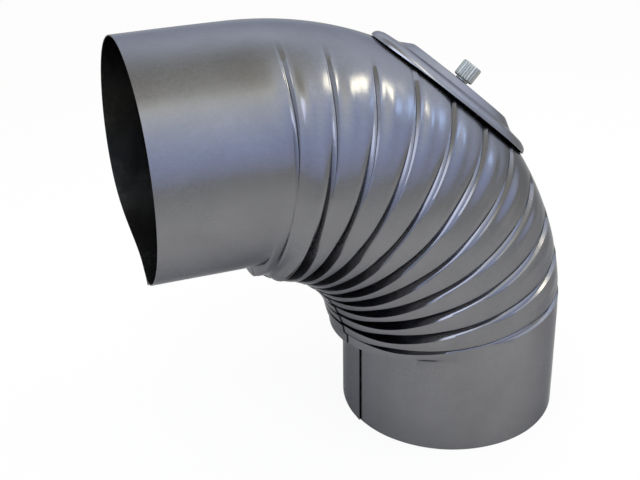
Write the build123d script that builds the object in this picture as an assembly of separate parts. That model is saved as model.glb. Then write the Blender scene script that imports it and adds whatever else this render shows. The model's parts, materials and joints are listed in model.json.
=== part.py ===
from build123d import *
import math
import os

# Pleated 90 degree flue elbow with a cleaning cover on the outside of the bend.
# Frame, in millimetres: the origin is the centre of the lower mouth, +Z runs up the lower leg
# and the other leg points along -X. The bend axis is parallel to Y.

# Sheet tube
pipe_radius = 75.0  # outside of both straight legs
sheet = 0.6
bend_radius = 146.0  # of the centre line
leg_length = 69.0

# Pleats: each section is a circle that touches the outer line of the bend, so the folds fade out there
crease_count = 11
first_crease_angle = 6.0  # degrees from the lower leg
last_crease_angle = 86.4
crest_rise = 6.25  # radius of a crest circle over the pipe radius
crease_fall = 1.0  # radius of a crease circle under the pipe radius
lip_rise = 4.0  # of the half crests beside the legs
last_band_share = 0.5  # the band beside the upper leg starts at this share of the crest
crease_half_width = 2.5
flank_shift = 0.5  # the inner face of a flank lies this much further from its crease
fold_extra = 0.7  # the inner face of a crease or ridge is this much deeper at the sides

# Lap seam beside the inner line of the bend, on both legs
seam_start_angle = 3.0  # degrees from the inner line, towards -Y
seam_end_angle = 12.0
ply_offset = sheet / 2  # each ply stands this much off the tube's own wall

# Cleaning cover
cover_angle = 48.2  # degrees from the lower leg
cover_half_length = 68.5
cover_sheet = 0.8
seat_gap = 0.3  # between the cover and what it rests on
plateau_clearance = 1.8  # of the raised middle over the top of the bend
corner_inset = 2.2  # insets are measured in from the rim at the ends of the oval
shoulder_inset = 6.0
step_foot_inset = 17.5
plateau_edge_inset = 26.5
skirt_share = 0.2  # heights over the rim plane, as shares of the plateau's height
corner_share = 0.4
shoulder_share = 0.51
step_foot_share = 0.57
plateau_edge_share = 0.95
plateau_flat_share = 0.4  # flat middle of the plateau, as a share of its size
side_inset_share = 0.65  # insets at the sides of the oval, against those at its ends
opening_half_length = 58.0
opening_half_width = 30.0

# Clamp bar inside the opening, with its stud and knurled nut
bar_gap = 0.5  # between the bar and the smooth inner wall, taken up by the creases
bar_thickness = 2.0
bar_width = 18.0
bar_half_angle = 33.0  # degrees
stud_radius = 2.5
stud_fit = 0.05  # radial clearance of the stud in the nut and in the bar
stud_head_radius = 5.0
stud_head_height = 2.0
cover_hole_clearance = 0.5
nut_radius = 6.8
nut_height = 10.9
nut_chamfer = 0.7
collar_radius = 4.4
collar_height = 1.2
knurl_count = 20
knurl_depth = 0.45
stud_end_depth = 0.6  # the stud ends this far inside the nut's top

# Places that follow from the sizes above
bend_centre = Vector(-bend_radius, 0, leg_length)
dome_radius = bend_radius + pipe_radius
rim_level = math.sqrt(dome_radius ** 2 - cover_half_length ** 2)
plateau_height = dome_radius - rim_level + plateau_clearance
crest_radius = pipe_radius + crest_rise
crest_centre = bend_radius - crest_rise
cover_half_width = math.sqrt(crest_radius ** 2 - (rim_level - crest_centre) ** 2)
inner_radius = pipe_radius - sheet
bar_radius = inner_radius - bar_gap
crease_step_angle = (last_crease_angle - first_crease_angle) / (crease_count - 1)


def outward(angle):
    """Unit vector from the bend axis to the tube's centre at this angle from the lower leg."""
    return Vector(math.cos(math.radians(angle)), 0, math.sin(math.radians(angle)))


def along(angle):
    """Unit vector along the tube's centre line at this angle from the lower leg."""
    return Vector(-math.sin(math.radians(angle)), 0, math.cos(math.radians(angle)))


def section(angle, offset, radius, tube_radius):
    """Circle across the tube that touches the outer line of a tube of tube_radius."""
    centre = bend_centre + outward(angle) * (bend_radius + tube_radius - radius) + along(angle) * offset
    return Wire.make_circle(radius, Plane(centre, outward(angle), along(angle)))


def shoulder(angle, side, rise, across, tube_radius, inner):
    """Edge of a crease. On its inner face a ridge, with lower sheet across the band, is lower and not shifted."""
    ridge = rise > across
    shift = flank_shift if inner and not ridge else 0
    extra = fold_extra if inner and ridge else 0
    return section(angle, side * (crease_half_width + shift), tube_radius + rise - extra, tube_radius)


def pleated_tube(tube_radius, inner, overrun):
    """Solid bounded by one face of the sheet, from the lower mouth to the other."""
    leg_shift = flank_shift if inner else 0
    bottom = tube_radius - crease_fall - (fold_extra if inner else 0)
    rises = [0, lip_rise] + [crest_rise] * (2 * crease_count - 3) + [crest_rise * last_band_share, lip_rise, 0]
    rings = [section(0, -leg_length - overrun, tube_radius, tube_radius)]
    rings.append(section(0, leg_shift, tube_radius, tube_radius))
    for index in range(crease_count):
        angle = first_crease_angle + index * crease_step_angle
        across_before, before, after, across_after = rises[2 * index:2 * index + 4]
        rings.append(shoulder(angle, -1, before, across_before, tube_radius, inner))
        rings.append(section(angle, 0, bottom, tube_radius))
        rings.append(shoulder(angle, 1, after, across_after, tube_radius, inner))
        if index < crease_count - 1:
            middle = tube_radius + (after + across_after) / 2
            rings.append(section(angle + crease_step_angle / 2, 0, middle, tube_radius))
    rings.append(section(90, -leg_shift, tube_radius, tube_radius))
    rings.append(section(90, leg_length + overrun, tube_radius, tube_radius))
    return Solid.make_loft(rings, ruled=True)


def seam_strip(leg_plane):
    """Two plies of the lap seam on one leg; the plane's Z runs up the leg and its X to the outer line."""
    outer = pipe_radius + ply_offset
    inner = inner_radius - ply_offset
    start = 180 + seam_start_angle
    sweep = seam_end_angle - seam_start_angle
    arcs = [CenterArc((0, 0), outer, start, sweep), CenterArc((0, 0), inner, start, sweep)]
    sides = [Line(arcs[0] @ end, arcs[1] @ end) for end in (0, 1)]
    return leg_plane * extrude(make_face([*arcs, *sides]), leg_length)


def oval(half_length, half_width, height):
    """Ellipse parallel to the cover's rim plane."""
    return Wire.make_ellipse(half_length, half_width, Plane.XY.offset(height))


def elbow_body(lid_plane):
    """Pleated sheet tube with its lap seam and the oval cleaning opening."""
    outside = pleated_tube(pipe_radius, False, 0)
    inside = pleated_tube(inner_radius, True, sheet)
    lower_leg = Plane((0, 0, 0), (1, 0, 0), (0, 0, 1))
    upper_end = bend_centre + outward(90) * bend_radius + along(90) * leg_length
    upper_leg = Plane(upper_end, (0, 0, 1), (1, 0, 0))
    opening = extrude(make_face(oval(opening_half_length, opening_half_width, 0)), cover_half_width)
    tube = outside - inside
    tube += seam_strip(lower_leg)
    tube += mirror(seam_strip(Plane.XY), Plane.XZ).moved(Location(upper_leg))
    return tube - lid_plane * opening


def mitred(points, thickness):
    """Profile points moved inwards by the sheet's thickness, with mitred corners."""
    moved = []
    for index, point in enumerate(points):
        before = points[max(index - 1, 0)]
        after = points[min(index + 1, len(points) - 1)]
        turns = []
        for start, end in ((before, point), (point, after)):
            if start != end:
                turns.append(math.atan2(end[1] - start[1], end[0] - start[0]))
        middle = sum(turns) / len(turns)
        reach = thickness / math.cos(turns[-1] - middle)
        moved.append((point[0] + reach * math.sin(middle), point[1] - reach * math.cos(middle)))
    return moved


def dish(points):
    """Oval solid whose side follows the (inset, height) points from its base to its top."""
    rings = []
    for inset, height in points:
        rings.append(oval(cover_half_length - inset, cover_half_width - inset * side_inset_share, height))
    return Solid.make_loft(rings, ruled=True)


def cleaning_cover():
    """Pressed oval cover, in the frame of its rim plane, cut to the dome that it sits on."""
    below = -cover_sheet * 4
    flat_inset = cover_half_length - plateau_flat_share * (cover_half_length - plateau_edge_inset)
    profile = [
        (0, below),
        (0, skirt_share * plateau_height),
        (corner_inset, corner_share * plateau_height),
        (shoulder_inset, shoulder_share * plateau_height),
        (step_foot_inset, step_foot_share * plateau_height),
        (plateau_edge_inset, plateau_edge_share * plateau_height),
        (flat_inset, plateau_height),
    ]
    shell = dish(profile) - dish(mitred(profile, cover_sheet))
    dome_plane = Plane((0, 0, -rim_level), (1, 0, 0), (0, 1, 0))
    dome = Solid.make_torus(crest_centre, crest_radius + seat_gap, dome_plane)
    hole = Cylinder(stud_radius + cover_hole_clearance, plateau_height * 4)
    return shell - dome - hole


def bar_level(radius):
    """Height over the rim plane of a point at this radius from the tube's centre line."""
    return bend_radius - rim_level + radius


def clamp_bar():
    """Arched bar that lies across the opening and bears on the inner wall at both ends."""
    start = 90 - bar_half_angle
    sweep = 2 * bar_half_angle
    centre = (0, bar_level(0))
    outer = CenterArc(centre, bar_radius, start, sweep)
    inner = CenterArc(centre, bar_radius - bar_thickness, start, sweep)
    ends = [Line(outer @ end, inner @ end) for end in (0, 1)]
    strip = extrude(Plane.YZ * make_face([outer, inner, *ends]), bar_width / 2, both=True)
    return strip - Cylinder(stud_radius + stud_fit, plateau_height * 4)


def clamp_stud(nut_top):
    """Headed stud that stands through the bar and the cover."""
    under_bar = math.sqrt((bar_radius - bar_thickness) ** 2 - stud_head_radius ** 2)
    head_top = bar_level(under_bar)
    base = (Align.CENTER, Align.CENTER, Align.MIN)
    shank = Cylinder(stud_radius, nut_top - stud_end_depth - head_top, align=base)
    head = Cylinder(stud_head_radius, stud_head_height, align=(Align.CENTER, Align.CENTER, Align.MAX))
    return Pos(0, 0, head_top) * (shank + head)


def knurled_nut(seat):
    """Round nut with straight knurling, a smaller collar below it and a plain bore."""
    groove = Rectangle(knurl_depth * 2, knurl_depth * 2, rotation=45)
    outline = Circle(nut_radius) - PolarLocations(nut_radius, knurl_count) * groove
    head = extrude(outline, nut_height)
    edge_radius = nut_radius - nut_chamfer
    middle = nut_height - 2 * nut_chamfer
    base = (Align.CENTER, Align.CENTER, Align.MIN)
    lower = Cone(edge_radius, nut_radius, nut_chamfer, align=base)
    upper = Pos(0, 0, nut_chamfer + middle) * Cone(nut_radius, edge_radius, nut_chamfer, align=base)
    envelope = lower + Pos(0, 0, nut_chamfer) * Cylinder(nut_radius, middle, align=base) + upper
    collar = Cylinder(collar_radius, collar_height, align=base)
    nut = collar + Pos(0, 0, collar_height) * (head & envelope)
    return Pos(0, 0, seat) * (nut - Cylinder(stud_radius + stud_fit, nut_height * 4))


def main():
    os.makedirs("parts", exist_ok=True)
    lid_centre = bend_centre + outward(cover_angle) * rim_level
    lid_plane = Plane(lid_centre, along(cover_angle), outward(cover_angle))
    nut_seat = plateau_height + seat_gap
    nut_top = nut_seat + collar_height + nut_height
    parts = {
        "elbow_body": elbow_body(lid_plane),
        "cleaning_cover": lid_plane * cleaning_cover(),
        "clamp_bar": lid_plane * clamp_bar(),
        "clamp_stud": lid_plane * clamp_stud(nut_top),
        "knurled_nut": lid_plane * knurled_nut(nut_seat),
    }
    for name, shape in parts.items():
        export_step(shape, f"parts/{name}.step")


main()
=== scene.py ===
import json
import math
import bpy
import numpy as np
from mathutils import Matrix


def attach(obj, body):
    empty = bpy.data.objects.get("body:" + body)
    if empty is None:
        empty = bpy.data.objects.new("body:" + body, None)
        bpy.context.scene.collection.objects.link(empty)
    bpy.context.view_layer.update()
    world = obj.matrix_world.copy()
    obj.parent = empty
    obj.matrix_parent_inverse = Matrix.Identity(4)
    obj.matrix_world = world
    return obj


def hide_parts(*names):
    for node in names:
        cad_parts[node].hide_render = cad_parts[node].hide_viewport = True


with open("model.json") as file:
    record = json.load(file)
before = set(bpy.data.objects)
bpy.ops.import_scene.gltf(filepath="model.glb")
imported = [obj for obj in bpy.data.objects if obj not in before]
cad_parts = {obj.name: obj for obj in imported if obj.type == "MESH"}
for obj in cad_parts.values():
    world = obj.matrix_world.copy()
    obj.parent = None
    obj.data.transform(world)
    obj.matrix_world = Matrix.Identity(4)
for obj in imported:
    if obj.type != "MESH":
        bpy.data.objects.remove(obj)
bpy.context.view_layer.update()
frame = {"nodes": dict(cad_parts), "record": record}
mm = 0.001
mounts = {m["name"]: m for m in frame["record"]["mounts"]}
joints = {j["name"]: j for j in frame["record"]["behaviour"]["joints"]}
print("frame loaded:", ", ".join(sorted(frame["nodes"])))

# Sizes that the frame gives
pipeRadius = mounts["lower_end"]["dims"]["r_mm"] * mm
sheetThick = pipeRadius - mounts["upper_end"]["dims"]["r_mm"] * mm
legLength = mounts["lower_end"]["dims"]["length_mm"] * mm
bendRadius = mounts["upper_end"]["pos_m"][2] - legLength
bendCentre = np.array([-bendRadius, 0, legLength])
lidNormal = np.array(joints["cover_lift"]["axis"], float)
lidNormal /= np.linalg.norm(lidNormal)
lidAlong = np.array([-lidNormal[2], 0, lidNormal[0]])
nearSide = np.array([0, -1.0, 0])  # across the tube, towards the camera


def smoothStep(low, high, value):
    t = np.clip((value - low) / (high - low), 0, 1)
    return t * t * (3 - 2 * t)


def gridFaces(rows, cols, wrapRows=False, wrapCols=False):
    # quads of a grid of points, as one array of four indices each
    i = np.arange(rows if wrapRows else rows - 1)
    j = np.arange(cols if wrapCols else cols - 1)
    i, j = np.meshgrid(i, j, indexing="ij")
    iNext, jNext = (i + 1) % rows, (j + 1) % cols
    quads = np.stack([i * cols + j, iNext * cols + j, iNext * cols + jNext, i * cols + jNext], -1)
    return quads.reshape(-1, 4)


def gridNormals(points, wrapCols=False):
    # cross product of the two directions of the grid, scaled to unit length
    alongRows = np.gradient(points, axis=0)
    if wrapCols:
        alongCols = np.roll(points, -1, 1) - np.roll(points, 1, 1)
    else:
        alongCols = np.gradient(points, axis=1)
    normal = np.cross(alongRows, alongCols)
    return normal / np.maximum(np.linalg.norm(normal, axis=-1, keepdims=True), 1e-12)


def makeObject(name, points, faces, sharpAngle=38, uv=None, inner=None):
    used, faces = np.unique(faces, return_inverse=True)
    faces = faces.reshape(-1, 4)
    points = points.reshape(-1, 3)[used]
    mesh = bpy.data.meshes.new(name)
    mesh.vertices.add(len(points))
    mesh.vertices.foreach_set("co", points.astype(np.float32).ravel())
    mesh.loops.add(faces.size)
    mesh.loops.foreach_set("vertex_index", faces.astype(np.int32).ravel())
    mesh.polygons.add(len(faces))
    mesh.polygons.foreach_set("loop_start", np.arange(0, faces.size, 4, dtype=np.int32))
    mesh.polygons.foreach_set("use_smooth", np.ones(len(faces), bool))
    mesh.update(calc_edges=True)
    if uv is not None:
        layer = mesh.uv_layers.new(name="sheetUv")
        layer.uv.foreach_set("vector", uv.reshape(-1, 2)[used][faces.ravel()].astype(np.float32).ravel())
    if inner is not None:
        mark = mesh.attributes.new("innerWall", "FLOAT", "POINT")
        mark.data.foreach_set("value", inner[used].astype(np.float32))
    mesh.validate()
    mesh.set_sharp_from_angle(angle=math.radians(sharpAngle))
    piece = bpy.data.objects.new(name, mesh)
    bpy.context.scene.collection.objects.link(piece)
    return piece


def makeSheet(name, outer, thick, keep=None, wrapCols=False, uv=None):
    # outer wall, the same wall moved inwards along its normals, and a strip along every free edge
    rows, cols = outer.shape[:2]
    quads = gridFaces(rows, cols, wrapCols=wrapCols)
    if keep is not None:
        quads = quads[keep.ravel()]
    count = rows * cols
    inner = outer - thick * gridNormals(outer, wrapCols)
    start, end = quads.ravel(), np.roll(quads, -1, 1).ravel()
    free = ~np.isin(start * count + end, end * count + start)
    edge = np.stack([end[free], start[free], start[free] + count, end[free] + count], -1)
    faces = np.concatenate([quads, quads[:, ::-1] + count, edge])
    both = np.concatenate([outer.reshape(-1, 3), inner.reshape(-1, 3)])
    bothUv = None if uv is None else np.concatenate([uv.reshape(-1, 2)] * 2)
    return makeObject(name, both, faces, uv=bothUv, inner=np.arange(2 * count) >= count)


elbowLook = {
    "columns": 210,
    "legRows": 12,
    "creases": 11,
    "firstCrease": 6.0,  # degrees from the lower leg
    "creaseStep": 8.04,
    "lastShift": 0.65,  # degrees that the last crease lies nearer to the others
    "crestRise": 12.4 * mm,  # over the pipe, at the inner line
    "crestPower": 1.5,  # of k
    # by k, in mm: depth of a crease's valley, and widths of its flanks towards the upper leg and the lower leg
    "valley": [(0.03, 0.0), (0.08, 0.6), (0.15, 1.0), (0.22, 1.1), (0.3, 1.6), (0.38, 1.9), (0.45, 1.9), (0.56, 2.3),
               (0.68, 4.3), (0.8, 9.2), (0.9, 14.0), (1.0, 18.0)],
    "upperFlank": [(0.08, 9.0), (0.2, 8.0), (0.3, 7.0), (0.45, 5.0), (0.56, 4.2), (0.68, 3.9), (0.85, 4.5)],
    "lowerFlank": [(0.08, 0.9), (0.22, 1.7), (0.38, 2.4), (0.45, 2.3), (0.56, 1.4), (0.68, 2.4), (0.85, 3.8)],
    # by k, in mm: depth of the score line below the lower flank, of the flank's edge beside it, and the bead past it
    "score": [(0.03, 0.0), (0.08, 1.2), (0.15, 1.6), (0.22, 1.5), (0.3, 1.1), (0.38, 0.9), (0.45, 0.5), (0.56, 0.0)],
    "scoreEdge": [(0.03, 0.0), (0.08, 0.9), (0.15, 1.2), (0.22, 0.9), (0.3, 0.5), (0.38, 0.35), (0.45, 0.2),
                  (0.56, 0.0)],
    "bead": [(0.03, 0.0), (0.08, 0.4), (0.15, 0.45), (0.22, 0.35), (0.3, 0.15), (0.38, 0.0)],
    "beadReach": [(0.08, 2.8), (0.22, 2.0), (0.38, 1.3), (0.5, 0.9), (0.6, 0.3)],
    "scorePlace": 0.3,  # of the score line, as a share of the bead's reach
    "smoothing": 13,  # columns over which these tables are smoothed
    "acrossCrease": (-1, -0.65, -0.33, -0.1, 0, 0.1, 0.33, 0.65, 1),  # rows, from the lower flank to the upper one
    "acrossBand": (0.15, 0.3, 0.45, 0.6, 0.75, 0.9),
    "acrossLips": ((0, 0.1, 0.2, 0.35, 0.6), (0.4, 0.65, 0.8, 0.9, 1)),  # beside the lower and the upper leg
    "veeRound": 0.05,  # rounding of a crease's line, as a share of its flank
    "trough": (0.62, 0.96),  # a crease turns from a V to a U between these values of k
    "closing": (0.88, 0.995),  # and the folds close up between these
    "closedFlank": 0.6,  # share of the flanks' width, and of the depth, that is lost where they have closed up
    "closedDepth": 0.4,
    "uneven": (0.06, 4.1),  # share by which the depth changes from crease to crease, and its pace
    "firstDepth": 0.6,  # depth of the crease beside the lower leg, against the others
    "lastCrease": 0.07,  # depth of the crease beside the upper leg, against the others
    "lastFade": (0.22, 0.55),  # it gets this shallow between these values of k
    "lastFlat": (0.75, 0.92),  # and ends between these
    "lastBand": 0.12,  # share of the crest's rise beside the last crease
    "lipRise": 11.0 * mm,  # of the half folds beside the legs, at the inner line
    "lipPower": (6, 12),  # of k, for the lower lip and the upper one
    "lipLean": (5.0 * mm, 1.5 * mm),  # how far the lips reach over the lower and upper leg at the inner line
    "leanRange": (0.9, 0.99),
    "lowerRamp": (0.95, 0.6),  # share of the lower lip over which it rises, and how much less that is for large k
    "rampRange": (0.62, 0.9),
    "upperRamp": 0.35,
    "upperRoom": 0.6,  # largest share of the room beside the upper leg that the last flank may take
    "crown": 1.2 * mm,  # arch of each band between its creases
    "crownRange": (0.06, 0.2),  # it comes up between these values of k
    "crownFade": (0.2, 0.38),  # and loses the share below between these
    "crownLoss": 0.8,
    "seamEdge": 12.0,  # degrees from the inner line to the free edge of the lap
    "seamLap": 9.0,
    "plyStep": 0.33 * mm,
    "plySettle": (4, 26),  # degrees from the free edge, where the upper ply comes down to the tube
    "plySink": 32,  # degrees before the lap's other end, where the lower ply sinks
    "edgeLift": 0.55 * mm,
    "edgeWidth": 6,  # degrees
    "edgeOnBend": 0.25,  # share of the lift that the free edge keeps on the bend
    "edgeOnLeg": 0.15,  # share of a leg over which it gets all of it
    "cornerLift": 2.4 * mm,  # of the lap's corner at the upper mouth
    "cornerWidth": 9,
    "cornerFrom": 0.78,  # share of the upper leg
    "mouthFrom": 0.45,
    "mouthSetback": 4.6 * mm,  # the upper mouth is cut short at its lower far side
    "setbackPlace": (16, 30),  # middle and half width, in degrees from the inner line
    "mouthPinch": 0.8 * mm,
    "pinchPlace": (6, 22),
    "wave": 0.1 * mm,  # unevenness of the sheet
    "waveRound": (5, 8),  # waves round the tube, and their turn along it in radians per metre
    "waveAlong": (31, 57),
    "waveLoss": 0.7,  # share that is lost at the inner line
    "openingLong": 58.0 * mm,
    "openingWide": 30.0 * mm,
    "leastSize": 0.2,  # against division by zero in the middle of the oval
    "openingReach": 30.0 * mm,  # the opening cuts only what is less than this below the rim plane
}


def elbowSurface(look):
    # a circle carried along the bend; with k = (1 - cos of the angle from the outer line) / 2 the bands rise as k to
    # the power 1.5, and a lip beside each leg as a higher power of k; valley, flanks, score line and bead come from
    # smoothed tables of k; across a crease the level follows 1 - (1 - x) squared from its line to its edge, and
    # x squared at the inner line; between creases a band arches by the square of the sine
    start = math.pi - math.radians(look["seamEdge"])
    theta = start + np.linspace(0, 1, look["columns"]) * math.radians(360 + look["seamLap"])
    k = (1 - np.cos(theta)) / 2
    closing = smoothStep(*look["closing"], k)
    window = np.hanning(look["smoothing"]) / np.hanning(look["smoothing"]).sum()

    def table(name):
        values = np.pad(np.interp(k, *zip(*look[name])) * mm, look["smoothing"] // 2, mode="edge")
        return np.convolve(values, window, "valid")

    perMetre = (1 - look["closedFlank"] * closing) / (bendRadius + pipeRadius * np.cos(theta))
    upper, lower, reach = (table(name) * perMetre for name in ("upperFlank", "lowerFlank", "beadReach"))
    depth = table("valley") * (1 - look["closedDepth"] * closing)
    score, scoreEdge, bead = table("score"), table("scoreEdge"), table("bead")
    crest = look["crestRise"] * k ** look["crestPower"]
    lowerLip, upperLip = (look["lipRise"] * k ** power for power in look["lipPower"])
    lowerLean, upperLean = (lean * smoothStep(*look["leanRange"], k) for lean in look["lipLean"])
    lastBand = np.hypot(look["lastBand"] * crest, upperLip)
    crown = look["crown"] * smoothStep(*look["crownRange"], k)
    crown = crown * (1 - look["crownLoss"] * smoothStep(*look["crownFade"], k))
    trough = smoothStep(*look["trough"], k)
    creaseAngles = np.radians(look["firstCrease"]) + math.radians(look["creaseStep"]) * np.arange(look["creases"])
    creaseAngles[-1] -= math.radians(look["lastShift"])
    last = look["creases"] - 1
    rows = []  # angle along the bend, rise over the pipe, distance past the bend's end

    def add(angle, rise, past=0.0):
        rows.append((angle + 0 * theta, rise + 0 * theta, past + 0 * theta))

    # the lower leg and its lip
    lowerRows, upperRows = look["acrossLips"]
    for share in np.linspace(0, 1, look["legRows"])[:-1]:
        add(0, 0, (share - 1) * (legLength - lowerLean) - lowerLean)
    longRamp, rampLoss = look["lowerRamp"]
    lowerRamp = longRamp - rampLoss * smoothStep(*look["rampRange"], k)
    for share in lowerRows:
        rise = lowerLip * smoothStep(0, lowerRamp, share)
        add(share * (creaseAngles[0] - lower - reach), rise, (share - 1) * lowerLean)

    # each crease, and the band that follows it
    across = np.array(look["acrossCrease"])
    vees = np.hypot(1 - (1 - np.abs(across)) ** 2, look["veeRound"]) - look["veeRound"]
    unevenShare, unevenPace = look["uneven"]
    for i, angle in enumerate(creaseAngles):
        below, above, bottom, deep, flat = crest, crest, crest, 1, 1
        if i == 0:
            below, flat = lowerLip, look["firstDepth"]
            bottom = np.minimum(below, above)
        if i == last:
            below, above = lastBand, upperLip
            bottom = np.minimum(below, above)
            deep = 1 - (1 - look["lastCrease"]) * smoothStep(*look["lastFade"], k)
            flat = 1 - smoothStep(*look["lastFlat"], k)
        narrow = 0.5 + 0.5 * deep
        bottom = bottom - depth * deep * flat * (1 + unevenShare * math.sin(unevenPace * i))
        add(angle - narrow * (lower + reach), below + bead)
        add(angle - narrow * (lower + look["scorePlace"] * reach), below - score)
        for x, vee in zip(across, vees / vees[0]):
            level = vee + (x * x - vee) * trough
            edge, flank = (below - scoreEdge, lower) if x < 0 else (above, upper)
            add(angle + x * narrow * flank, bottom + (edge - bottom) * level)
        if i < last:
            nextBelow = lastBand if i + 1 == last else crest
            room = creaseAngles[i + 1] - angle - upper - lower - reach
            for share in look["acrossBand"]:
                arch = crown * math.sin(math.pi * share) ** 2
                add(angle + upper + share * room, above + (nextBelow - above) * share + arch)

    # the upper lip and its leg
    begin = creaseAngles[-1] + np.minimum(upper, look["upperRoom"] * (math.pi / 2 - creaseAngles[-1]))
    for share in upperRows:
        rise = upperLip * smoothStep(0, look["upperRamp"], 1 - share)
        add(begin + share * (math.pi / 2 - begin), rise, share * upperLean)
    for share in np.linspace(0, 1, look["legRows"])[1:]:
        add(math.pi / 2, 0, upperLean + share * (legLength - upperLean))
    angle, rise, past = (np.array(part) for part in zip(*rows))

    # the lap: the first columns lie outside the last ones, and the free edge stands off on the legs
    turned = np.degrees(theta - start)
    ply = look["plyStep"] * (1 - smoothStep(*look["plySettle"], turned))
    ply -= look["plyStep"] * smoothStep(360 + look["seamLap"] - look["plySink"], 360, turned)
    onLegs = smoothStep(0, look["edgeOnLeg"], np.abs(past) / legLength)
    lift = look["edgeLift"] * (look["edgeOnBend"] + (1 - look["edgeOnBend"]) * onLegs)
    lift = lift * np.clip(1 - turned / look["edgeWidth"], 0, 1) ** 2
    corner = look["cornerLift"] * smoothStep(look["cornerFrom"], 1, past / legLength)
    corner = corner * np.clip(1 - turned / look["cornerWidth"], 0, 1) ** 2
    rise = rise + ply + lift + corner

    # the upper mouth's lower far side is cut back and pressed in a little, and the sheet waves slightly
    atMouth = smoothStep(look["mouthFrom"], 1, past / legLength)
    fromInner = np.degrees(np.arctan2(-np.sin(theta), -np.cos(theta)))
    setback, pinch = (look[name] * np.exp(-((fromInner - place) / width) ** 2) for name, (place, width) in
                      (("mouthSetback", look["setbackPlace"]), ("mouthPinch", look["pinchPlace"])))
    rise = rise - pinch * atMouth
    travel = past + angle * bendRadius
    round1, round2 = look["waveRound"]
    along1, along2 = look["waveAlong"]
    wave = np.sin(round1 * theta + along1 * travel) + np.sin(round2 * theta - along2 * travel) - 2
    rise = rise + look["wave"] * wave * (1 - k * look["waveLoss"])
    past = past - setback * atMouth
    radius = pipeRadius + rise
    outward = np.stack([np.cos(angle), 0 * angle, np.sin(angle)], -1)
    forward = np.stack([-np.sin(angle), 0 * angle, np.cos(angle)], -1)
    fromAxis = bendRadius + radius * np.cos(theta)
    points = bendCentre + outward * fromAxis[..., None] + forward * past[..., None]
    points = points + nearSide * (radius * np.sin(theta))[..., None]
    uv = np.stack([theta * pipeRadius + 0 * travel, travel], -1)
    return points, uv


def lidCoordinates(points):
    # distance along the cover, across it and above its rim plane
    d = points - lidCentre
    return d @ lidAlong, d @ nearSide, d @ lidNormal


def makeElbow(look):
    # the surface above less an oval opening; points of the faces that the oval crosses move out on to it
    points, uv = elbowSurface(look)
    s, y, h = lidCoordinates(points)
    size = np.hypot(s / look["openingLong"], y / look["openingWide"])
    inHole = (size < 1) & (h > -look["openingReach"])
    corners = np.stack([inHole[:-1, :-1], inHole[1:, :-1], inHole[1:, 1:], inHole[:-1, 1:]])
    keep = ~corners.all(0)
    mixed = corners.any(0) & keep  # faces that the opening's edge crosses
    moving = np.zeros_like(inHole)
    rows, cols = mixed.shape
    for di, dj in ((0, 0), (0, 1), (1, 0), (1, 1)):
        moving[di:rows + di, dj:cols + dj] |= mixed
    moving &= inHole
    shift = np.where(moving, 1 / np.maximum(size, look["leastSize"]) - 1, 0)[..., None]
    points = points + shift * (s[..., None] * lidAlong + y[..., None] * nearSide)
    return makeSheet("pleatedElbow", points, sheetThick, keep, uv=uv)


coverLook = {
    "columns": 220,
    "rows": 60,
    "halfLong": 68.5 * mm,
    "crestRise": 6.25 * mm,
    "seatGap": 0.3 * mm,
    "sheet": 0.8 * mm,
    "rounding": 2.2 * mm,
    # half length, half width, and height at the ends and at the sides, from the rim to the stud hole
    "corners": [(68.5, 40.6, 0.0, 0.0), (68.4, 40.4, 2.6, 0.3), (66.6, 37.6, 4.8, 3.8), (62.5, 34.4, 6.2, 6.2),
                (51.0, 29.2, 7.3, 7.9), (42.0, 23.4, 12.1, 12.1), (17.0, 9.0, 12.65, 12.65), (3.0, 3.0, 12.68, 12.68)],
    "samples": 1200,  # of the rounded profile
    "evenRows": 0.004,  # more of this spreads the rows evenly, less of it gathers them in the bends
    "standOff": 1.9 * mm,  # of the rim over the dome at the sides
}
rimLevel = math.sqrt((bendRadius + pipeRadius) ** 2 - coverLook["halfLong"] ** 2)
lidCentre = bendCentre + lidNormal * rimLevel


def lidPoints(s, y, h):
    return lidCentre + s[..., None] * lidAlong + y[..., None] * nearSide + h[..., None] * lidNormal


def domeHeight(s, y, look):
    # height over the rim plane of the torus that the band crests lie on
    tube = np.sqrt((pipeRadius + look["crestRise"] + look["seatGap"]) ** 2 - y ** 2)
    return np.sqrt((bendRadius - look["crestRise"] + tube) ** 2 - s ** 2) - rimLevel


def makeCover(look):
    # a rounded profile carried round an oval, with heights that change from its ends to its sides by the square
    # of the sine; its lowest row follows the dome of the bend
    corners = np.array(look["corners"]) * mm
    length = np.concatenate([[0], np.cumsum(np.linalg.norm(np.diff(corners[:, [0, 2]], axis=0), axis=1))])
    fine = np.linspace(0, length[-1], look["samples"])
    profile = np.stack([np.interp(fine, length, corner) for corner in corners.T], -1)
    width = int(look["rounding"] / (fine[1] - fine[0]))
    window = np.hanning(2 * width + 1)
    padded = np.pad(profile, ((width, width), (0, 0)), mode="reflect", reflect_type="odd")
    profile = np.stack([np.convolve(column, window / window.sum(), "valid") for column in padded.T], -1)
    bend = np.abs(np.gradient(np.unwrap(np.arctan2(*np.gradient(profile[:, [2, 0]], axis=0).T))))
    density = np.cumsum(look["evenRows"] + bend)
    rows = np.interp(np.linspace(density[0], density[-1], look["rows"]), density, np.arange(len(fine)))
    profile = np.stack([np.interp(rows, np.arange(len(fine)), column) for column in profile.T], -1)
    phi = np.linspace(2 * math.pi, 0, look["columns"], endpoint=False)
    s = profile[:, :1] * np.cos(phi)
    y = profile[:, 1:2] * np.sin(phi)
    seat = domeHeight(s[0], y[0], look)
    atSides = np.sin(phi) ** 2
    h = profile[:, 2:3] * (1 - atSides) + profile[:, 3:] * atSides
    skirtTop = corners[2, 2] * (1 - atSides) + corners[2, 3] * atSides
    h = h + np.clip(1 - h / skirtTop, 0, 1) * (seat + look["standOff"] * atSides)
    uv = np.stack([s, y], -1)
    return makeSheet("ovalCover", lidPoints(s, y, h), look["sheet"], wrapCols=True, uv=uv)


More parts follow.
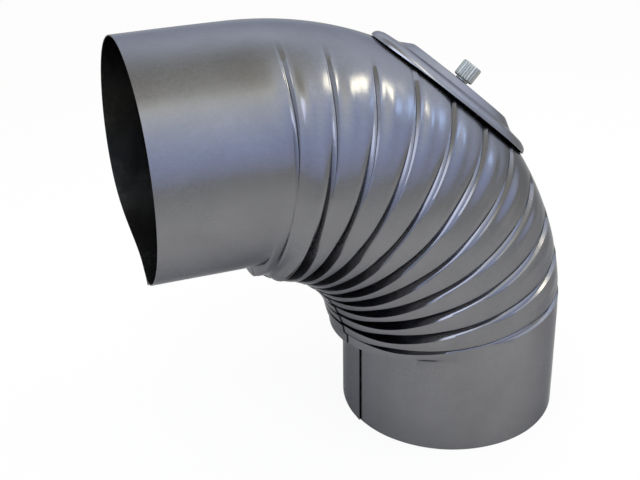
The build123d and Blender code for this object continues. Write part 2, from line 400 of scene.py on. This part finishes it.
def turnedPiece(name, profile, cols, change, sharpAngle=38):
    # a profile of radius and height turned about the stud's axis; change alters the radius over the grid
    phi = np.linspace(2 * math.pi, 0, cols, endpoint=False)
    profile = np.array(profile)
    radius = profile[:, :1] + 0 * phi
    height = profile[:, 1:] + 0 * phi
    radius = change(radius, height, phi)
    points = lidPoints(radius * np.cos(phi), radius * np.sin(phi), height)
    faces = gridFaces(len(profile), cols, wrapRows=True, wrapCols=True)
    return makeObject(name, points, faces, sharpAngle)


nutLook = {
    "columns": 320,
    "radius": 6.8 * mm,
    "height": 10.9 * mm,
    "chamfer": 0.7 * mm,
    "collarRadius": 4.4 * mm,
    "collarHeight": 1.2 * mm,
    "bore": 2.55 * mm,
    "collarEdge": 0.3 * mm,
    "boreEdge": 0.5 * mm,
    "headRows": 6,
    "knurls": 20,
    "knurlDepth": 0.45 * mm,
    "knurlShape": (1.5, 0.4),  # steepness of the wave, and how much of it is cut off flat
    "sharpAngle": 30,
    "seat": 12.98 * mm,  # over the cover's rim plane
}


def makeNut(look):
    # radius falls by the depth of a triangle wave round the head, on the rows between the chamfers
    seat, collar = look["seat"], look["seat"] + look["collarHeight"]
    top = collar + look["height"]
    edge = look["radius"] - look["chamfer"]
    neck, neckEdge, boreEdge = look["collarRadius"], look["collarEdge"], look["boreEdge"]
    profile = [(look["bore"], seat), (neck - neckEdge, seat), (neck, seat + neckEdge), (neck, collar), (edge, collar)]
    side = np.linspace(collar + look["chamfer"], top - look["chamfer"], look["headRows"])
    profile += [(look["radius"], h) for h in side]
    profile += [(edge, top), (look["bore"] + boreEdge, top), (look["bore"], top - boreEdge)]
    steep, cut = look["knurlShape"]

    def knurl(radius, height, phi):
        wave = np.abs((phi * look["knurls"] / (2 * math.pi)) % 1 - 0.5) * 2
        onHead = smoothStep(edge, look["radius"], radius) * (height > collar)
        return radius - look["knurlDepth"] * np.clip(wave * steep - cut, 0, 1) * onHead

    return turnedPiece("knurledNut", profile, look["columns"], knurl, look["sharpAngle"])


studLook = {
    "columns": 40,
    "radius": 2.5 * mm,
    "pitch": 0.8 * mm,
    "depth": 0.35 * mm,
    "headRadius": 5.0 * mm,
    "headHeight": 2.0 * mm,
    "headEdge": 0.4 * mm,
    "tip": 0.5 * mm,
    "threadStart": 2.2 * mm,
    "shankRows": 150,
    "foot": 0.1 * mm,  # first row of the shank over the head
    "axisRadius": 0.02 * mm,  # of the rows at its ends, so that they stay open
    "bottom": 7.61 * mm,  # head's top over the rim plane
    "top": 24.48 * mm,
}


def makeStud(look):
    # a headed rod whose radius dips with a helix along the shank
    bottom, head, headEdge = look["bottom"], look["headRadius"], look["headEdge"]
    low = bottom - look["headHeight"]
    profile = [(look["axisRadius"], low), (head - headEdge, low), (head, low + headEdge), (head, bottom),
               (look["radius"], bottom)]
    shank = np.linspace(bottom + look["foot"], look["top"] - look["tip"], look["shankRows"])
    profile += [(look["radius"], h) for h in shank]
    profile += [(look["radius"] - look["tip"], look["top"]), (look["axisRadius"], look["top"])]

    def thread(radius, height, phi):
        wave = np.abs((height / look["pitch"] - phi / (2 * math.pi)) % 1 - 0.5) * 2
        onShank = (np.abs(radius - look["radius"]) < 1e-6) & (height > bottom + look["threadStart"])
        return radius - look["depth"] * wave * onShank

    return turnedPiece("clampStud", profile, look["columns"], thread)


def addNode(tree, kind, **values):
    made = tree.nodes.new(kind)
    for name, value in values.items():
        if hasattr(made, name) and name not in made.inputs:
            setattr(made, name, value)
        elif isinstance(value, bpy.types.NodeSocket):
            tree.links.new(value, made.inputs[name])
        else:
            made.inputs[name].default_value = value
    return made


def newGroup(name, inputs, outputs):
    group = bpy.data.node_groups.new(name, "ShaderNodeTree")
    for label, kind, value in inputs:
        made = group.interface.new_socket(label, in_out="INPUT", socket_type=kind)
        if value is not None:
            made.default_value = value
    for label, kind in outputs:
        group.interface.new_socket(label, in_out="OUTPUT", socket_type=kind)
    return group, group.nodes.new("NodeGroupInput"), group.nodes.new("NodeGroupOutput")


def noise(tree, vector, scale, detail, rough, distortion):
    made = addNode(tree, "ShaderNodeTexNoise", Vector=vector)
    made.inputs["Scale"].default_value = scale
    made.inputs["Detail"].default_value = detail
    made.inputs["Roughness"].default_value = rough
    made.inputs["Distortion"].default_value = distortion
    return made.outputs["Fac"]


def remap(tree, value, low, high, outLow=0.0, outHigh=1.0):
    made = tree.nodes.new("ShaderNodeMapRange")
    tree.links.new(value, made.inputs["Value"])
    for name, number in (("From Min", low), ("From Max", high), ("To Min", outLow), ("To Max", outHigh)):
        made.inputs[name].default_value = number
    return made.outputs["Result"]


def maths(tree, operation, first, second):
    made = tree.nodes.new("ShaderNodeMath")
    made.operation = operation
    for index, value in enumerate((first, second)):
        if isinstance(value, bpy.types.NodeSocket):
            tree.links.new(value, made.inputs[index])
        else:
            made.inputs[index].default_value = value
    return made.outputs[0]


def mixColour(tree, factor, first, second):
    made = tree.nodes.new("ShaderNodeMix")
    made.data_type = "RGBA"
    for name, value in (("Factor_Float", factor), ("A_Color", first), ("B_Color", second)):
        socket = next(i for i in made.inputs if i.identifier == name)
        if isinstance(value, bpy.types.NodeSocket):
            tree.links.new(value, socket)
        else:
            socket.default_value = value
    return next(o for o in made.outputs if o.identifier == "Result_Color")


finishLook = {
    # scale, detail, roughness and distortion of each noise
    "cloud": (22, 4, 0.6, 0.4),
    "speckle": (420, 3, 0.6, 0.0),
    "smudge": (9, 2, 0.5, 1.2),
    "lines": (1, 2, 0.6, 0.0),
    "lineStretch": (1400, 18, 1),
    "range": (0.3, 0.7),  # of a noise, from none of its effect to all of it
    "smudgeRange": (0.35, 0.7),
    "toneShares": (0.62, 0.26, 0.12),  # of cloud, speckle and lines in the colour
    "smudgeRough": (-0.04, 0.09),
    "speckleRough": (-0.03, 0.03),
    "lineHeight": 0.35,  # against the cloud's
}


def steelGroup(look):
    # cloudy mill finish: broad tint patches, fine speckle, faint rolling lines and hand smudges
    group, inside, outside = newGroup(
        "millFinish",
        [("Vector", "NodeSocketVector", None), ("Sheet", "NodeSocketVector", None),
         ("Light", "NodeSocketColor", (0.3, 0.3, 0.31, 1)), ("Dark", "NodeSocketColor", (0.2, 0.2, 0.21, 1)),
         ("Roughness", "NodeSocketFloat", 0.36)],
        [("Colour", "NodeSocketColor"), ("Roughness", "NodeSocketFloat"), ("Height", "NodeSocketFloat")])
    vector, sheet = inside.outputs["Vector"], inside.outputs["Sheet"]
    cloud, speckle, smudge = (noise(group, vector, *look[name]) for name in ("cloud", "speckle", "smudge"))
    stretch = addNode(group, "ShaderNodeMapping", Vector=sheet)
    stretch.inputs["Scale"].default_value = look["lineStretch"]
    lines = noise(group, stretch.outputs["Vector"], *look["lines"])
    parts = [remap(group, part, *look["range"], 0, share)
             for part, share in zip((cloud, speckle, lines), look["toneShares"])]
    tone = maths(group, "ADD", maths(group, "ADD", parts[0], parts[1]), parts[2])
    group.links.new(mixColour(group, tone, inside.outputs["Dark"], inside.outputs["Light"]), outside.inputs["Colour"])
    smudged = remap(group, smudge, *look["smudgeRange"], *look["smudgeRough"])
    rough = maths(group, "ADD", inside.outputs["Roughness"], smudged)
    rough = maths(group, "ADD", rough, remap(group, speckle, *look["range"], *look["speckleRough"]))
    group.links.new(rough, outside.inputs["Roughness"])
    height = maths(group, "ADD", maths(group, "MULTIPLY", lines, look["lineHeight"]), cloud)
    group.links.new(height, outside.inputs["Height"])
    return group


reliefHeight = 0.4 * mm
edgeTint = (0.5, 0.5, 0.52, 1)  # metal is this dull at grazing angles


def metal(name, group, light, dark, roughness, bump=0.12, useUv=False, inside=None):
    material = bpy.data.materials.new(name)
    material.use_nodes = True
    tree = material.node_tree
    shader = next(n for n in tree.nodes if n.type == "BSDF_PRINCIPLED")
    coords = tree.nodes.new("ShaderNodeTexCoord")
    finish = tree.nodes.new("ShaderNodeGroup")
    finish.node_tree = group
    tree.links.new(coords.outputs["Object"], finish.inputs["Vector"])
    tree.links.new(coords.outputs["UV" if useUv else "Object"], finish.inputs["Sheet"])
    finish.inputs["Light"].default_value = (*light, 1)
    finish.inputs["Dark"].default_value = (*dark, 1)
    finish.inputs["Roughness"].default_value = roughness
    relief = tree.nodes.new("ShaderNodeBump")
    relief.inputs["Strength"].default_value = bump
    relief.inputs["Distance"].default_value = reliefHeight
    tree.links.new(finish.outputs["Height"], relief.inputs["Height"])
    colour = finish.outputs["Colour"]
    # the inner wall gets its own flat colour; on the cover that colour is a painted shade
    if inside is not None:
        mark = addNode(tree, "ShaderNodeAttribute", attribute_name="innerWall")
        colour = mixColour(tree, mark.outputs["Fac"], colour, (*inside, 1))
    tree.links.new(colour, shader.inputs["Base Color"])
    tree.links.new(finish.outputs["Roughness"], shader.inputs["Roughness"])
    tree.links.new(relief.outputs["Normal"], shader.inputs["Normal"])
    shader.inputs["Metallic"].default_value = 1.0
    shader.inputs["Specular Tint"].default_value = edgeTint
    return material


def dress(piece, material):
    piece.data.materials.clear()
    piece.data.materials.append(material)


millFinish = steelGroup(finishLook)
elbowSteel = metal("elbowSheetSteel", millFinish, (0.215, 0.212, 0.224), (0.165, 0.163, 0.171), 0.21, bump=0.06,
                   useUv=True, inside=(0.17, 0.17, 0.155))
# the cover's inner wall is coloured near black, a painted shade that darkens the gap under its rim
coverSteel = metal("coverSheetSteel", millFinish, (0.25, 0.247, 0.26), (0.195, 0.193, 0.203), 0.25, bump=0.06,
                   useUv=True, inside=(0.03, 0.03, 0.03))
nutZinc = metal("nutZincPlate", millFinish, (0.42, 0.43, 0.39), (0.30, 0.31, 0.28), 0.36)
studZinc = metal("studZincPlate", millFinish, (0.40, 0.40, 0.38), (0.30, 0.30, 0.29), 0.32)
barSteel = metal("barPlainSteel", millFinish, (0.20, 0.20, 0.205), (0.13, 0.13, 0.135), 0.4)
print("materials made")

elbow = makeElbow(elbowLook)
cover = makeCover(coverLook)
nut = makeNut(nutLook)
stud = makeStud(studLook)
dress(elbow, elbowSteel)
dress(cover, coverSteel)
dress(nut, nutZinc)
dress(stud, studZinc)
for piece, body, node in ((elbow, "elbow", "elbow_body"), (cover, "cover", "cleaning_cover"),
                          (nut, "nut", "knurled_nut"), (stud, "elbow", "clamp_stud")):
    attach(piece, body)
    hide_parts(node)
dress(frame["nodes"]["clamp_bar"], barSteel)
print("pieces made:", {p.name: len(p.data.polygons) for p in (elbow, cover, nut, stud)})

stageLook = {
    "floorSize": 8.0,
    "floorDrop": 0.0002,  # below the object's lowest point
    "floorColourAndPaintedPool": ((0.82, 0.78, 0.68), (0.6, 0.57, 0.48)),  # beside the object, and far from it; the darkening from the one to the other is a painted pool of light round the object
    "paintedPoolFade": (0.25, 0.9),  # distance over which the one turns into the other, the edge of the painted pool of light
    "floorGlow": 0.91,  # share of the floor's white that the camera sees without shadow
}


def straightView(tree):
    # 1 for rays that the camera sees directly or through glass, 0 for light and reflections
    path = tree.nodes.new("ShaderNodeLightPath")
    return maths(tree, "MAXIMUM", path.outputs["Is Camera Ray"], path.outputs["Is Transmission Ray"])


def makeFloor(look):
    half = look["floorSize"] / 2
    corner = np.array([[-half, -half, 0], [half, -half, 0], [half, half, 0], [-half, half, 0]])
    floor = makeObject("paleFloor", corner - [0, 0, look["floorDrop"]], np.array([[0, 1, 2, 3]]))
    material = bpy.data.materials.new("paleFloor")
    material.use_nodes = True
    tree = material.node_tree
    tree.nodes.clear()
    output = tree.nodes.new("ShaderNodeOutputMaterial")
    coords = tree.nodes.new("ShaderNodeTexCoord")
    away = tree.nodes.new("ShaderNodeVectorMath")
    away.operation = "LENGTH"
    tree.links.new(coords.outputs["Object"], away.inputs[0])
    # painted pool of light: the floor's pale colour darkens with distance from the object
    near, far = look["floorColourAndPaintedPool"]
    colour = mixColour(tree, remap(tree, away.outputs["Value"], *look["paintedPoolFade"]), (*near, 1), (*far, 1))
    matt = addNode(tree, "ShaderNodeBsdfDiffuse", Color=colour)
    glow = addNode(tree, "ShaderNodeEmission", Color=(1, 1, 1, 1), Strength=1.0)
    seen = maths(tree, "MULTIPLY", straightView(tree), look["floorGlow"])
    mix = tree.nodes.new("ShaderNodeMixShader")
    tree.links.new(seen, mix.inputs[0])
    tree.links.new(matt.outputs[0], mix.inputs[1])
    tree.links.new(glow.outputs[0], mix.inputs[2])
    tree.links.new(mix.outputs[0], output.inputs["Surface"])
    dress(floor, material)


skyLook = {
    "background": (1, 1, 1),
    # colours by sine of the height over the horizon, in front of the object and behind it
    "front": [(0.0, (0.83, 0.90, 1.18)), (0.3, (0.97, 1.13, 1.66)), (0.55, (1.22, 1.4, 1.8)),
              (0.8, (1.6, 1.7, 1.86)), (0.89, (1.88, 1.9, 1.72)), (0.96, (1.02, 1.0, 0.88)), (1.0, (0.74, 0.73, 0.64))],
    "back": [(0.0, (1.05, 1.14, 1.34)), (0.35, (1.36, 1.48, 1.72)), (0.5, (1.42, 1.54, 1.78)), (0.7, (1.36, 1.48, 1.7)),
             (0.84, (0.96, 1.02, 1.1)), (0.95, (0.66, 0.66, 0.61)), (1.0, (0.8, 0.79, 0.7))],
    "frontRange": (0.25, -0.35),  # along the depth of the view, from the back's colours to the front's
    "leftShare": 0.66,  # level of the left side against the middle
    "leftRange": (-0.7, 0.0),
}


def heightRamp(tree, height, stops):
    ramp = tree.nodes.new("ShaderNodeValToRGB")
    tree.links.new(height, ramp.inputs["Fac"])
    points = ramp.color_ramp.elements
    points[0].position, points[1].position = stops[0][0], stops[-1][0]
    points[0].color, points[1].color = (*stops[0][1], 1), (*stops[-1][1], 1)
    for place, colour in stops[1:-1]:
        points.new(place).color = (*colour, 1)
    return ramp.outputs["Color"]


def makeSky(look):
    world = bpy.data.worlds.new("studio")
    bpy.context.scene.world = world
    world.use_nodes = True
    tree = world.node_tree
    tree.nodes.clear()
    coords = tree.nodes.new("ShaderNodeTexCoord")
    split = addNode(tree, "ShaderNodeSeparateXYZ", Vector=coords.outputs["Generated"])
    front = heightRamp(tree, split.outputs["Z"], look["front"])
    behind = heightRamp(tree, split.outputs["Z"], look["back"])
    light = mixColour(tree, remap(tree, split.outputs["Y"], *look["frontRange"]), behind, front)
    side = remap(tree, split.outputs["X"], *look["leftRange"], look["leftShare"], 1.0)
    seen = straightView(tree)
    colour = mixColour(tree, seen, light, (*look["background"], 1))
    back = addNode(tree, "ShaderNodeBackground", Color=colour)
    tree.links.new(maths(tree, "MAXIMUM", seen, side), back.inputs["Strength"])
    output = tree.nodes.new("ShaderNodeOutputWorld")
    tree.links.new(back.outputs[0], output.inputs["Surface"])


def placed(right, back, place):
    # the matrix of a lamp or camera that looks against back
    return Matrix(np.vstack([np.column_stack([right, np.cross(back, right), back, place]), [0, 0, 0, 1]]))


lampLook = {
    "aim": (-0.07, 0, 0.16),
    # degrees from the front towards the right, degrees up, distance, size, brightness and colour
    "warmLamp": (86, 44, 1.6, (0.32, 0.3), 7.6, (1.0, 0.92, 0.66)),
    "blueWindow": (86, 23, 1.8, (0.42, 0.3), 2.8, (0.42, 0.62, 1.0)),
    "leftWindow": (-44, 50, 1.8, (1.4, 1.1), 2.3, (0.7, 0.77, 1.0)),
}


def makeLamp(name, aim, turn, height, distance, size, level, colour):
    turn, height = math.radians(turn), math.radians(height)
    back = np.array([math.sin(turn) * math.cos(height), -math.cos(turn) * math.cos(height), math.sin(height)])
    place = np.array(aim) + distance * back
    data = bpy.data.lights.new(name, "AREA")
    data.shape = "RECTANGLE"
    data.size, data.size_y = size
    data.energy = level * math.pi * size[0] * size[1]
    data.color = colour
    lamp = bpy.data.objects.new(name, data)
    right = np.cross([0, 0, 1.0], back)
    right /= np.linalg.norm(right)
    lamp.matrix_world = placed(right, back, place)
    bpy.context.scene.collection.objects.link(lamp)


cameraLook = {
    "place": (-0.31907, -0.63835, 0.49624),
    "forward": (0.29282, 0.83448, -0.46680),
    "right": (0.94025, -0.34001, -0.01801),
    "lens": 65.942,
    "sensor": 36,
    "clip": 0.01,
}


def makeCamera(look):
    data = bpy.data.cameras.new("photoCamera")
    data.lens = look["lens"]
    data.sensor_width = look["sensor"]
    data.clip_start = look["clip"]
    camera = bpy.data.objects.new("photoCamera", data)
    back = -np.array(look["forward"])
    back /= np.linalg.norm(back)
    right = np.array(look["right"])
    right -= back * (right @ back)
    right /= np.linalg.norm(right)
    camera.matrix_world = placed(right, back, look["place"])
    bpy.context.scene.collection.objects.link(camera)
    bpy.context.scene.camera = camera


makeFloor(stageLook)
makeSky(skyLook)
for name in ("warmLamp", "blueWindow", "leftWindow"):
    makeLamp(name, lampLook["aim"], *lampLook[name])
makeCamera(cameraLook)
bpy.context.scene.view_settings.view_transform = "Standard"
print("stage, lamps and camera made")
